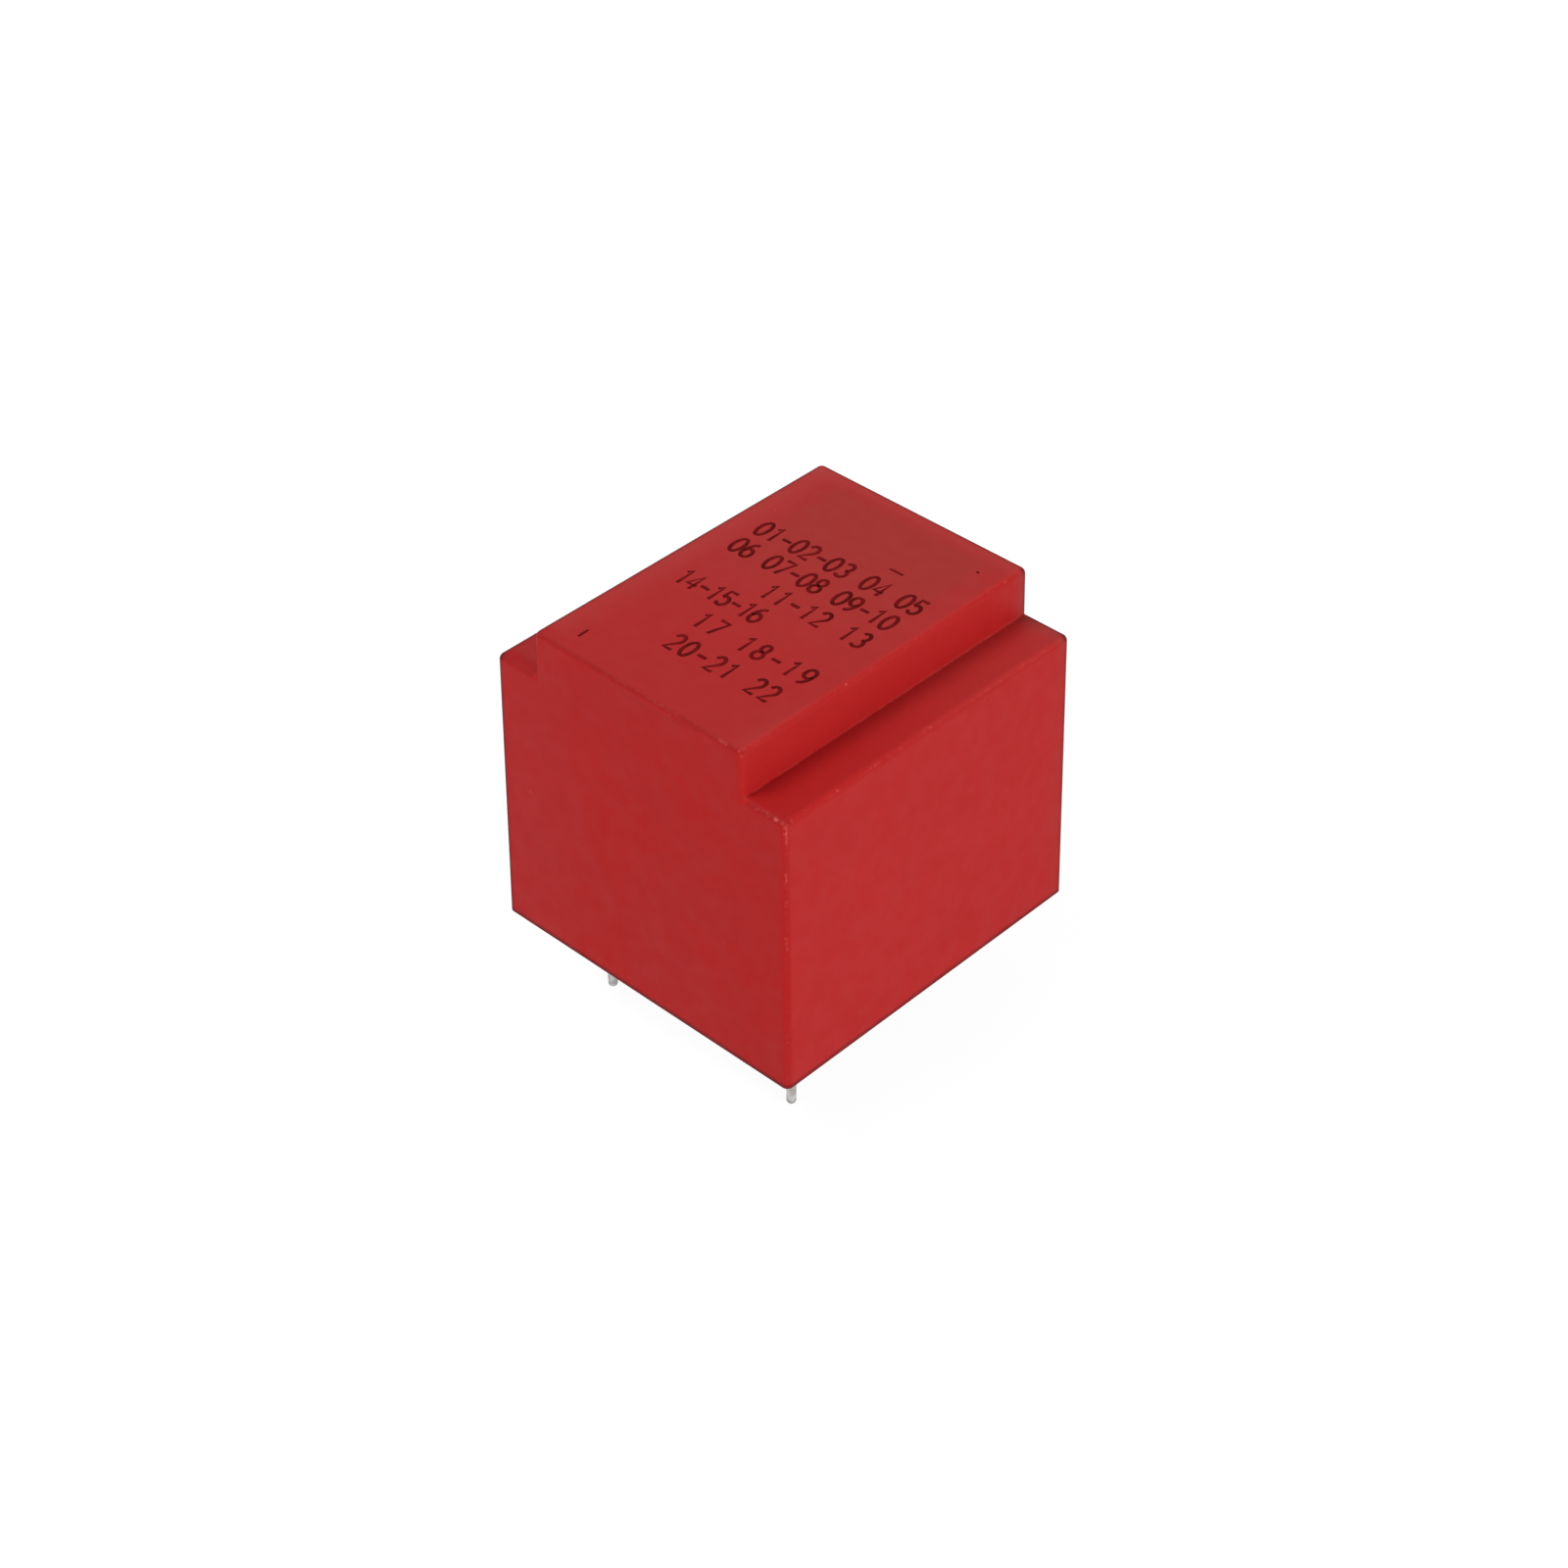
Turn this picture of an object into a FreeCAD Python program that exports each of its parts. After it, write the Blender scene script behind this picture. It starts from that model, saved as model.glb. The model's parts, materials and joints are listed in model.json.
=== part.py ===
"""A small potted transformer for a printed circuit board.

A red moulded case, open at the bottom, holds a steel core of interleaved E and I laminations, a
two-chamber former with a winding in each chamber, and the resin that fills the rest. Four tinned
pins stand in the former's rails and reach out below the case.

Millimetres. The origin is the centre of the case's rim, which seats on the board; +Z is up, X runs
across the stepped profile and Y runs along the coil's axis. The sizes below give a case of
23.0 x 23.9 x 22.0 mm whose pins reach 6.6 mm below its rim.
"""
import FreeCAD, Part
import math
import os
import Sketcher

Vector = FreeCAD.Vector

# Driving sizes, in millimetres unless the name says otherwise

SIZES = {
    # Steel core
    "lamination_count": "24",
    "lamination_thickness": "0.5",
    "centre_leg": "6.6",
    "outer_leg": "3.3",
    "yoke": "3.3",
    # Former
    "leg_clearance": "0.15",
    "tube_wall": "0.7",
    "flange_thickness": "0.8",
    "flange_margin": "0.1",
    "chamber_length": "5.8",
    "window_side_gap": "0.3",
    "window_end_gap": "0.2",
    # Windings
    "primary_build": "2.0",
    "secondary_build": "1.8",
    "tape_thickness": "0.15",
    "lead_diameter": "0.3",
    "lead_spacing": "5.6",
    "lead_gap": "0.175",
    # Pins and the rails that carry them
    "pin_diameter": "0.6",
    "pin_length": "6.6",
    "pin_tip_round": "0.24",
    "root_step": "0.2",
    "pin_pitch": "5.0",
    "pin_row_offset": "0.5",
    "rail_end": "1.6",
    "rail_lip": "1.3",
    "rail_cap": "0.7",
    "rail_yoke_gap": "0.4",
    "lead_space": "1.4",
    # Case and resin
    "case_wall": "0.9",
    "case_roof": "1.0",
    "core_roof_gap": "0.21",
    "coil_roof_gap": "0.23",
    "core_side_gap": "0.33",
    "core_end_gap": "0.3",
    "coil_side_gap": "0.71",
    "draft_angle": "0.8",
    "edge_round": "0.4",
    "inner_round": "0.5",
    "resin_recess": "0.4",
    "resin_cover": "0.325",
}

# Sizes that follow from the driving ones; heights are above the rim

FOLLOWING = {
    "slope": "tan(Sizes.draft_angle * 1deg)",
    # Former and windings: rises are measured outwards from the tube's own outside
    "coil_rise": "max(Sizes.primary_build; Sizes.secondary_build) + Sizes.tape_thickness",
    "flange_rise": "coil_rise + Sizes.flange_margin",
    "stack": "Sizes.lamination_count * Sizes.lamination_thickness",
    "bore_width": "Sizes.centre_leg + 2 * Sizes.leg_clearance",
    "bore_height": "stack + 2 * Sizes.leg_clearance",
    "tube_width": "bore_width + 2 * Sizes.tube_wall",
    "tube_height": "bore_height + 2 * Sizes.tube_wall",
    "flange_width": "tube_width + 2 * flange_rise",
    "flange_height": "tube_height + 2 * flange_rise",
    "former_length": "2 * Sizes.chamber_length + 3 * Sizes.flange_thickness",
    # Core outline
    "window_length": "former_length + 2 * Sizes.window_end_gap",
    "window_outer": "flange_width + 2 * Sizes.window_side_gap",
    "core_width": "window_outer + 2 * Sizes.outer_leg",
    "core_length": "window_length + 2 * Sizes.yoke",
    # Heights, from the resin's face upwards
    "lead_level": "Sizes.resin_recess + Sizes.resin_cover + Sizes.lead_diameter / 2",
    "rail_foot": "lead_level + Sizes.lead_diameter / 2 + Sizes.lead_gap",
    "flange_foot": "rail_foot + Sizes.lead_space",
    "coil_level": "flange_foot + flange_height / 2",
    "core_foot": "coil_level - stack / 2",
    "core_top": "core_foot + stack",
    "rail_top": "core_foot - Sizes.rail_yoke_gap",
    "pin_top": "rail_top - Sizes.rail_cap",
    "ledge_inside": "core_top + Sizes.core_roof_gap",
    "roof_inside": "flange_foot + flange_height + Sizes.coil_roof_gap",
    "ledge_height": "ledge_inside + Sizes.case_roof",
    "case_height": "roof_inside + Sizes.case_roof",
    # Pin rows and rails
    "pin_row": "former_length / 2 + Sizes.pin_row_offset",
    "rail_width": "3 * Sizes.pin_pitch + 2 * Sizes.rail_end",
    "rail_inner": "former_length / 2 - Sizes.flange_thickness",
    "rail_outer": "pin_row + Sizes.rail_lip",
    "root_radius": "Sizes.pin_diameter / 2 + Sizes.root_step",
    # Case, measured at the rim: its walls lean in by the draft all the way up
    "core_room": "core_width + 2 * (Sizes.core_side_gap + core_top * slope)",
    "rail_room": "rail_width + 2 * (Sizes.core_side_gap + rail_top * slope)",
    "core_end_room": "core_length + 2 * (Sizes.core_end_gap + core_top * slope)",
    "rail_end_room": "2 * (rail_outer + Sizes.core_end_gap + rail_top * slope)",
    "cavity_width": "max(core_room; rail_room)",
    "cavity_depth": "max(core_end_room; rail_end_room)",
    "upper_cavity": "flange_width + 2 * (Sizes.coil_side_gap + roof_inside * slope)",
    "case_width": "cavity_width + 2 * Sizes.case_wall",
    "case_depth": "cavity_depth + 2 * Sizes.case_wall",
    "upper_width": "upper_cavity + 2 * Sizes.case_wall",
}

# Each pin's place along its row, counted in pitches from the middle

PRIMARY_PINS = {"pin_1": 1.5, "pin_4": -1.5}
SECONDARY_PINS = {"pin_6": -0.5, "pin_7": 0.5}

# Places, in millimetres, and directions that differ by less than this count as the same

HAIR = 0.001

doc = FreeCAD.newDocument("pcb_transformer")


def fill_sheet(name, cells, prefix=""):
    """Put each size in a row of a spreadsheet: its name, its value and its alias."""
    sheet = doc.addObject("Spreadsheet::Sheet", name)
    for row, (alias, content) in enumerate(cells.items(), start=1):
        sheet.set(f"A{row}", alias)
        sheet.set(f"B{row}", prefix + content)
        sheet.setAlias(f"B{row}", alias)
    doc.recompute()
    return sheet


sizes = fill_sheet("Sizes", SIZES)
following = fill_sheet("Following", FOLLOWING, prefix="=")


def bind(thing, **expressions):
    """Bind properties to expressions; a double underscore in a name stands for a dot."""
    for name, expression in expressions.items():
        thing.setExpression(name.replace("__", "."), expression)
    return thing


def own_plane(body, role):
    """One of the body's own origin planes or axes."""
    return next(item for item in body.Origin.OriginFeatures if item.Role == role)


def new_body(label):
    """A body whose label names its file."""
    return doc.addObject("PartDesign::Body", label)


def new_sketch(body, name, role="XY_Plane", offset="0"):
    """A sketch on one of the body's own planes, moved along the plane's normal."""
    sketch = body.newObject("Sketcher::SketchObject", f"{body.Name}_{name}")
    sketch.AttachmentSupport = [(own_plane(body, role), "")]
    sketch.MapMode = "FlatFace"
    return bind(sketch, AttachmentOffset__Base__z=offset)


def draw_outline(sketch, sides):
    """Draw a closed outline of upright and level lines.

    Each side is given by the one coordinate that it keeps: ("x", expression) for an upright line,
    ("y", expression) for a level one, in turn round the outline.
    """
    values = [float(sketch.evalExpression(expression)) for _, expression in sides]
    count = len(sides)
    corners = []
    for index, (axis, _) in enumerate(sides):
        here, after = values[index], values[(index + 1) % count]
        corners.append(Vector(here, after) if axis == "x" else Vector(after, here))
    first = sketch.GeometryCount
    for index in range(count):
        sketch.addGeometry(Part.LineSegment(corners[index - 1], corners[index]), False)
    for index, (axis, expression) in enumerate(sides):
        line, after = first + index, first + (index + 1) % count
        direction, distance = ("Vertical", "DistanceX") if axis == "x" else ("Horizontal", "DistanceY")
        sketch.addConstraint(Sketcher.Constraint("Coincident", line, 2, after, 1))
        sketch.addConstraint(Sketcher.Constraint(direction, line))
        place = Sketcher.Constraint(distance, -1, 1, line, 1, values[index])
        sketch.renameConstraint(sketch.addConstraint(place), f"side_{line}")
        sketch.setExpression(f"Constraints.side_{line}", expression)


def draw_rectangle(sketch, width, height, level="0"):
    """Draw a rectangle that is centred left to right, with its middle at a level."""
    draw_outline(sketch, [
        ("x", f"({width}) / 2"),
        ("y", f"{level} + ({height}) / 2"),
        ("x", f"-({width}) / 2"),
        ("y", f"{level} - ({height}) / 2"),
    ])


def draw_circle(sketch, x, y, radius):
    """Draw a circle whose centre and radius are expressions."""
    centre = Vector(float(sketch.evalExpression(x)), float(sketch.evalExpression(y)))
    circle = sketch.addGeometry(Part.Circle(centre, Vector(0, 0, 1), float(sketch.evalExpression(radius))))
    places = {
        "across": (Sketcher.Constraint("DistanceX", -1, 1, circle, 3, centre.x), x),
        "along": (Sketcher.Constraint("DistanceY", -1, 1, circle, 3, centre.y), y),
        "radius": (Sketcher.Constraint("Radius", circle, sketch.evalExpression(radius)), radius),
    }
    for name, (constraint, expression) in places.items():
        sketch.renameConstraint(sketch.addConstraint(constraint), f"{name}_{circle}")
        sketch.setExpression(f"Constraints.{name}_{circle}", expression)


def pad(sketch, length, symmetric=False):
    """Add material along the sketch's normal."""
    body = sketch.getParentGeoFeatureGroup()
    feature = body.newObject("PartDesign::Pad", f"{sketch.Name}_pad")
    feature.Profile = sketch
    feature.SideType = "Symmetric" if symmetric else "One side"
    bind(feature, Length=length)
    doc.recompute()
    return feature


def pocket(sketch, length, symmetric=False):
    """Cut along the sketch's normal, and make sure that something was cut."""
    body = sketch.getParentGeoFeatureGroup()
    before = body.Shape.Volume
    feature = body.newObject("PartDesign::Pocket", f"{sketch.Name}_pocket")
    feature.Profile = sketch
    feature.Reversed = not symmetric
    feature.SideType = "Symmetric" if symmetric else "One side"
    bind(feature, Length=length)
    doc.recompute()
    if body.Shape.Volume >= before:
        raise ValueError(f"{feature.Name} cuts nothing")
    return feature


def lean_walls(body, name, outward=False):
    """Lean the walls that still stand upright in by the draft, about the rim plane.

    Walls round a hollow face the other way, so they lean outwards, as the tool sees it.
    """
    base = body.Tip
    upright = [f"Face{number}" for number, face in enumerate(base.Shape.Faces, start=1)
               if isinstance(face.Surface, Part.Plane) and abs(face.Surface.Axis.z) < HAIR]
    feature = body.newObject("PartDesign::Draft", f"{body.Name}_{name}")
    feature.Base = (base, upright)
    feature.NeutralPlane = (own_plane(body, "XY_Plane"), [""])
    feature.Reversed = outward
    bind(feature, Angle="Sizes.draft_angle")
    doc.recompute()
    return feature


def round_edges(body, name, radius, chosen):
    """Round the edges of the body's last shape that a test picks."""
    base = body.Tip
    names = [f"Edge{number}" for number, edge in enumerate(base.Shape.Edges, start=1) if chosen(edge)]
    feature = body.newObject("PartDesign::Fillet", f"{body.Name}_{name}")
    feature.Base = (base, names)
    bind(feature, Radius=radius)
    doc.recompute()
    return feature


def runs_along(edge, axis):
    """Whether an edge is a straight one along an axis, give or take the draft."""
    if edge.Degenerated or not isinstance(edge.Curve, Part.Line):
        return False
    lean = math.radians(2 * value("Sizes.draft_angle"))
    return abs(edge.Curve.Direction.dot(axis)) >= math.cos(lean)


def value(expression):
    """The number that an expression over the sheets gives now."""
    return float(following.evalExpression(expression))


def stepped_block(body, feature, widths, depth, heights):
    """Add or cut a block of two steps that both start at the rim."""
    for step, width, height in zip(("lower", "upper"), widths, heights):
        sketch = new_sketch(body, f"{step}_{'outside' if feature is pad else 'inside'}")
        draw_rectangle(sketch, f"Following.{width}", f"Following.{depth}")
        feature(sketch, f"Following.{height}")


def cavity(body, feature):
    """Add or cut the space inside the case, with its four long upright corners rounded."""
    stepped_block(body, feature, ("cavity_width", "upper_cavity"), "cavity_depth",
                  ("ledge_inside", "roof_inside"))
    lean_walls(body, "inside_draft", outward=feature is pocket)
    half = value("Following.cavity_width") / 2
    slack = value("Following.case_height * Following.slope") + HAIR
    round_edges(body, "corner_rounds", "Sizes.inner_round",
                lambda edge: runs_along(edge, Vector(0, 0, 1))
                and 0 <= half - abs(edge.CenterOfMass.x) <= slack)


def build_case():
    """The moulded case: a stepped shell, open at the bottom, with soft outer edges."""
    body = new_body("case")
    stepped_block(body, pad, ("case_width", "upper_width"), "case_depth",
                  ("ledge_height", "case_height"))
    lean_walls(body, "outside_draft")
    ledge = value("Following.ledge_height")
    wall = value("Following.upper_width") / 2

    def is_outer_edge(edge):
        """An edge above the rim, other than the two where the steps' walls meet the ledges."""
        middle = edge.CenterOfMass
        at_foot = abs(middle.z - ledge) < HAIR and abs(middle.x) < wall + HAIR
        return edge.BoundBox.ZMax > HAIR and not at_foot

    round_edges(body, "edge_rounds", "Sizes.edge_round", is_outer_edge)
    cavity(body, pocket)


def core_sides():
    """The outline's half sizes that both lamination shapes share, as expressions."""
    return {
        "side": "Following.core_width / 2",
        "window": "Following.window_outer / 2",
        "leg": "Sizes.centre_leg / 2",
        "end": "Following.core_length / 2",
        "yoke": "Following.window_length / 2",
    }


def build_lamination(shape, number):
    """One lamination: each layer is turned end for end over the one below."""
    body = new_body(f"{shape}_lamination_{number:02d}")
    turn = FreeCAD.Rotation(Vector(0, 0, 1), 180 * (number % 2))
    body.Placement = FreeCAD.Placement(Vector(), turn)
    bind(body, Placement__Base__z=f"Following.core_foot + {number - 1} * Sizes.lamination_thickness")
    half = core_sides()
    sketch = new_sketch(body, "outline")
    if shape == "e":
        draw_outline(sketch, [
            ("x", f"-{half['side']}"), ("y", f"{half['yoke']}"),
            ("x", f"-{half['window']}"), ("y", f"-{half['yoke']}"),
            ("x", f"-{half['leg']}"), ("y", f"{half['yoke']}"),
            ("x", f"{half['leg']}"), ("y", f"-{half['yoke']}"),
            ("x", f"{half['window']}"), ("y", f"{half['yoke']}"),
            ("x", f"{half['side']}"), ("y", f"-{half['end']}"),
        ])
    else:
        draw_outline(sketch, [
            ("x", f"-{half['side']}"), ("y", f"{half['end']}"),
            ("x", f"{half['side']}"), ("y", f"{half['yoke']}"),
        ])
    pad(sketch, "Sizes.lamination_thickness")


def build_core_space():
    """The space that the whole stack takes in the resin: a block with two windows."""
    body = new_body("core_space")
    half = core_sides()
    sketch = new_sketch(body, "outline", offset="Following.core_foot")
    draw_rectangle(sketch, "Following.core_width", "Following.core_length")
    for side in ("", "-"):
        draw_outline(sketch, [
            ("x", f"{side}{half['leg']}"), ("y", half["yoke"]),
            ("x", f"{side}{half['window']}"), ("y", f"-{half['yoke']}"),
        ])
    pad(sketch, "Following.stack")
    return body


def build_former():
    """The former: a tube with three plates, and a rail with two pin holes at each end."""
    body = new_body("coil_former")
    tube = new_sketch(body, "tube", "XZ_Plane")
    draw_rectangle(tube, "Following.tube_width", "Following.tube_height", "Following.coil_level")
    pad(tube, "Following.former_length", symmetric=True)

    plate = new_sketch(body, "plate", "XZ_Plane",
                       "(Following.former_length - Sizes.flange_thickness) / 2")
    draw_rectangle(plate, "Following.flange_width", "Following.flange_height", "Following.coil_level")
    first = pad(plate, "Sizes.flange_thickness", symmetric=True)
    plates = body.newObject("PartDesign::LinearPattern", "coil_former_plates")
    plates.Originals = [first]
    plates.Direction = (own_plane(body, "Y_Axis"), [""])
    plates.Occurrences = 3
    bind(plates, Length="Following.former_length - Sizes.flange_thickness")
    body.Tip = plates
    doc.recompute()

    rails = new_sketch(body, "rails", offset="Following.rail_foot")
    for side in ("", "-"):
        draw_outline(rails, [
            ("x", "-Following.rail_width / 2"), ("y", f"{side}Following.rail_inner"),
            ("x", "Following.rail_width / 2"), ("y", f"{side}Following.rail_outer"),
        ])
    pad(rails, "Following.rail_top - Following.rail_foot")

    bore = new_sketch(body, "bore", "XZ_Plane")
    draw_rectangle(bore, "Following.bore_width", "Following.bore_height", "Following.coil_level")
    pocket(bore, "Following.core_length", symmetric=True)

    holes = new_sketch(body, "pin_holes", offset="Following.rail_foot")
    for side, places in (("-", PRIMARY_PINS), ("", SECONDARY_PINS)):
        for place in places.values():
            draw_circle(holes, f"{place} * Sizes.pin_pitch", f"{side}Following.pin_row",
                        "Following.root_radius")
    pocket(holes, "Following.pin_top - Following.rail_foot")
    return body


def build_block(label, start, rise="0"):
    """A block round the former's tube, as long as one chamber, that stands out by a rise."""
    body = new_body(label)
    sketch = new_sketch(body, "section", "XZ_Plane", start)
    draw_rectangle(sketch, f"Following.tube_width + 2 * {rise}",
                   f"Following.tube_height + 2 * {rise}", "Following.coil_level")
    pad(sketch, "Sizes.chamber_length")
    return body


def build_wrap(label, start, rise):
    """A block with round corners: wire and tape turn about the tube's sharp corners."""
    body = build_block(label, start, rise)
    round_edges(body, "rounds", rise, lambda edge: runs_along(edge, Vector(0, 1, 0)))
    return body


def build_pin(label, place, row):
    """A round pin: a rounded tip, a plain shank, and a thicker root from the resin's face up."""
    body = new_body(label)
    bind(body, Placement__Base__x=f"{place} * Sizes.pin_pitch", Placement__Base__y=row)
    profile = new_sketch(body, "profile", "XZ_Plane")
    draw_outline(profile, [
        ("x", "0"), ("y", "-Sizes.pin_length"),
        ("x", "Sizes.pin_diameter / 2"), ("y", "Sizes.resin_recess"),
        ("x", "Following.root_radius"), ("y", "Following.pin_top"),
    ])
    shank = body.newObject("PartDesign::Revolution", f"{label}_turned")
    shank.Profile = profile
    shank.ReferenceAxis = (profile, ["V_Axis"])
    shank.Angle = 360
    doc.recompute()
    tip = -value("Sizes.pin_length")
    round_edges(body, "tip_round", "min(Sizes.pin_tip_round; 0.45 * Sizes.pin_diameter)",
                lambda edge: abs(edge.BoundBox.ZMax - tip) < HAIR)
    return body


def build_lead(label, top, drop, end):
    """A lead that leaves the coil's underside, turns below the rail and runs to a pin.

    The wire lies in the body's own XZ plane, which is turned about the drop to face the pin. The
    drop and the end are pairs of expressions for x and y, and the top is a height.
    """
    across, along = (f"(({end[axis]}) - ({drop[axis]}))" for axis in (0, 1))
    body = new_body(label)
    bind(body, Placement=f"placement(vector({drop[0]}; {drop[1]}; 0); "
                         f"rotation(vector(0; 0; 1); atan2({along}; {across})))")
    path = new_sketch(body, "path", "XZ_Plane")
    corner = Vector(0, value("Following.lead_level"))
    path.addGeometry(Part.LineSegment(Vector(0, value(top)), corner), False)
    path.addGeometry(Part.LineSegment(corner, Vector(value(f"hypot({across}; {along})"), corner.y)), False)
    path.addConstraint(Sketcher.Constraint("Coincident", 0, 2, 1, 1))
    path.addConstraint(Sketcher.Constraint("PointOnObject", 0, 1, -2))
    path.addConstraint(Sketcher.Constraint("Vertical", 0))
    path.addConstraint(Sketcher.Constraint("Horizontal", 1))
    places = {
        "top": (Sketcher.Constraint("DistanceY", -1, 1, 0, 1, value(top)), top),
        "level": (Sketcher.Constraint("DistanceY", -1, 1, 1, 1, corner.y), "Following.lead_level"),
        "reach": (Sketcher.Constraint("DistanceX", -1, 1, 1, 2, value(f"hypot({across}; {along})")),
                  f"hypot({across}; {along})"),
    }
    for name, (constraint, expression) in places.items():
        path.renameConstraint(path.addConstraint(constraint), name)
        path.setExpression(f"Constraints.{name}", expression)
    section = new_sketch(body, "section", offset=top)
    draw_circle(section, "0", "0", "Sizes.lead_diameter / 2")
    wire = body.newObject("PartDesign::AdditivePipe", f"{label}_wire")
    wire.Profile = section
    wire.Spine = (path, ["Edge1", "Edge2"])
    wire.Transition = "Right corner"
    doc.recompute()
    return body


def fuse(label, shapes):
    """One shape from several."""
    whole = doc.addObject("Part::MultiFuse", label)
    whole.Shapes = shapes
    return whole


def cut(label, base, tool):
    """A shape with another taken away."""
    rest = doc.addObject("Part::Cut", label)
    rest.Base = base
    rest.Tool = tool
    return rest


def build_coil(name, start, side, places, pins):
    """A winding whose two leads end on its pins, and the tape round it, open at the leads."""
    build = f"Sizes.{name}_build"
    wound = [build_wrap(f"{name}_turns", start, build)]
    for label, place in places.items():
        hand = 1 if place > 0 else -1
        wound.append(build_lead(
            f"{label}_lead",
            f"Following.coil_level - (Following.tube_height + {build}) / 2",
            (f"{hand} * Sizes.lead_spacing / 2",
             f"{side}(Sizes.flange_thickness + Sizes.chamber_length) / 2"),
            (f"{place} * Sizes.pin_pitch", f"{side}Following.pin_row")))
    whole = fuse(f"{name}_wound", wound)
    inside = [build_block(f"{name}_inside", start)] + [pins[label] for label in places]
    winding = cut(f"{name}_winding", whole, fuse(f"{name}_room", inside))
    wrap = build_wrap(f"{name}_wrap", start, f"({build} + Sizes.tape_thickness)")
    tape = cut(f"{name}_tape", wrap, whole)
    return winding, tape


def build_resin(inner):
    """The resin: the case's inside up from just above the rim, less all that it holds."""
    body = new_body("resin_fill")
    cavity(body, pad)
    recess = doc.addObject("Part::Box", "rim_recess")
    bind(recess, Length="Following.case_width", Width="Following.case_depth",
         Height="Sizes.resin_recess",
         Placement__Base__x="-Following.case_width / 2",
         Placement__Base__y="-Following.case_depth / 2")
    return cut("potting_resin", body, fuse("resin_hollow", [recess] + inner))


def check_document(labels):
    """Stop if any object failed, or if a piece has no sound shape."""
    doc.recompute()
    failed = [item.Name for item in doc.Objects if {"Invalid", "Error"} & set(item.State)]
    if failed:
        raise ValueError(f"failed objects: {failed}")
    for label in labels:
        shape = doc.getObject(label).Shape
        if shape.isNull() or not shape.isValid():
            raise ValueError(f"{label} has no sound shape")
        if len(shape.Solids) != 1:
            raise ValueError(f"{label} has {len(shape.Solids)} solids")


build_case()
former = build_former()
core = build_core_space()
pins = {}
for pin_label, pin_place in PRIMARY_PINS.items():
    pins[pin_label] = build_pin(pin_label, pin_place, "-Following.pin_row")
for pin_label, pin_place in SECONDARY_PINS.items():
    pins[pin_label] = build_pin(pin_label, pin_place, "Following.pin_row")

# A sketch on the XZ plane looks along -Y, so a positive offset starts a sleeve on the -Y side
primary_winding, primary_tape = build_coil(
    "primary", "Sizes.flange_thickness / 2", "-", PRIMARY_PINS, pins)
secondary_winding, secondary_tape = build_coil(
    "secondary", "-Sizes.flange_thickness / 2 - Sizes.chamber_length", "", SECONDARY_PINS, pins)
build_resin([core, former, primary_winding, primary_tape, secondary_winding, secondary_tape,
             *pins.values()])

layer_numbers = range(1, int(value("Sizes.lamination_count")) + 1)
for layer in layer_numbers:
    build_lamination("e", layer)
    build_lamination("i", layer)

PIECES = ["case", "potting_resin", "coil_former", "primary_winding", "primary_tape",
          "secondary_winding", "secondary_tape", *pins]
PIECES += [f"{shape}_lamination_{layer:02d}" for shape in ("e", "i") for layer in layer_numbers]

check_document(PIECES)
os.makedirs("parts", exist_ok=True)
for piece in PIECES:
    doc.getObject(piece).Shape.exportStep(f"parts/{piece}.step")
for name in ("case_width", "case_depth", "ledge_height", "case_height"):
    print(name, round(value(f"Following.{name}"), 3))
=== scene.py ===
"""The looks of a small potted transformer for a printed circuit board.

A red moulded case with a line print on its top stands on four tinned pins. The construction comes
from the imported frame; this script gives each piece its finish, adds the print, and sets up a pale
studio with a camera at the photograph's angle. All lengths are in metres.
"""
from __future__ import annotations

import json
import logging
import math
from dataclasses import dataclass
from enum import Enum

import bpy
from mathutils import Matrix, Vector

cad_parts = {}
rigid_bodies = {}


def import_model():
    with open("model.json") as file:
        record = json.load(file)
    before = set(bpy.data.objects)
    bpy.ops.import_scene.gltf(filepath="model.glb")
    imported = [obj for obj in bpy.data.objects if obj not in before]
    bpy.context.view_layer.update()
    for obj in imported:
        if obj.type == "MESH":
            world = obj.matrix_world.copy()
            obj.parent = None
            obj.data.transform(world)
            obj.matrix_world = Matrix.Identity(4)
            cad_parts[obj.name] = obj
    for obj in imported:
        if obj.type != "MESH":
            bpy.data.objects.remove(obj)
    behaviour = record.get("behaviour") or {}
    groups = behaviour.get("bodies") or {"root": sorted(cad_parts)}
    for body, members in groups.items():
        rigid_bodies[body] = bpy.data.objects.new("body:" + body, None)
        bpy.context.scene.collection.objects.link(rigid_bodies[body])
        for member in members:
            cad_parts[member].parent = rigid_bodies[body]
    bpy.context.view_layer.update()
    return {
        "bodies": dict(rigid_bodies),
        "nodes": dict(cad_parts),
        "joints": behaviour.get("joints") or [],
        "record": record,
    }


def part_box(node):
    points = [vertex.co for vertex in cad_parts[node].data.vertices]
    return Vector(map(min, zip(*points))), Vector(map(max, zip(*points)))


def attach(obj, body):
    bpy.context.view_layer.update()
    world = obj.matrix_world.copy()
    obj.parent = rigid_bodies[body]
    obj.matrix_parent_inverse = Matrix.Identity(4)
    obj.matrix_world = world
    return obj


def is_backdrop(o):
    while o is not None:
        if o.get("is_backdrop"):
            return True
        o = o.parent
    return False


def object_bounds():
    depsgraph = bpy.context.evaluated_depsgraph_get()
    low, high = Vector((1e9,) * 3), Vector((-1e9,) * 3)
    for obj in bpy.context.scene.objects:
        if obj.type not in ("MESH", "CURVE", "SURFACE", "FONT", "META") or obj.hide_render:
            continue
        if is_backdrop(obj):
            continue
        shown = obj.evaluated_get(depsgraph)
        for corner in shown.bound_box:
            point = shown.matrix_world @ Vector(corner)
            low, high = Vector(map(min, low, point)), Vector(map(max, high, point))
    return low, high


MM = 0.001
ROOT = "root"
WHITE = (1.0, 1.0, 1.0, 1.0)
Socket = bpy.types.NodeSocket

log = logging.getLogger("pcb_transformer")


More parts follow.
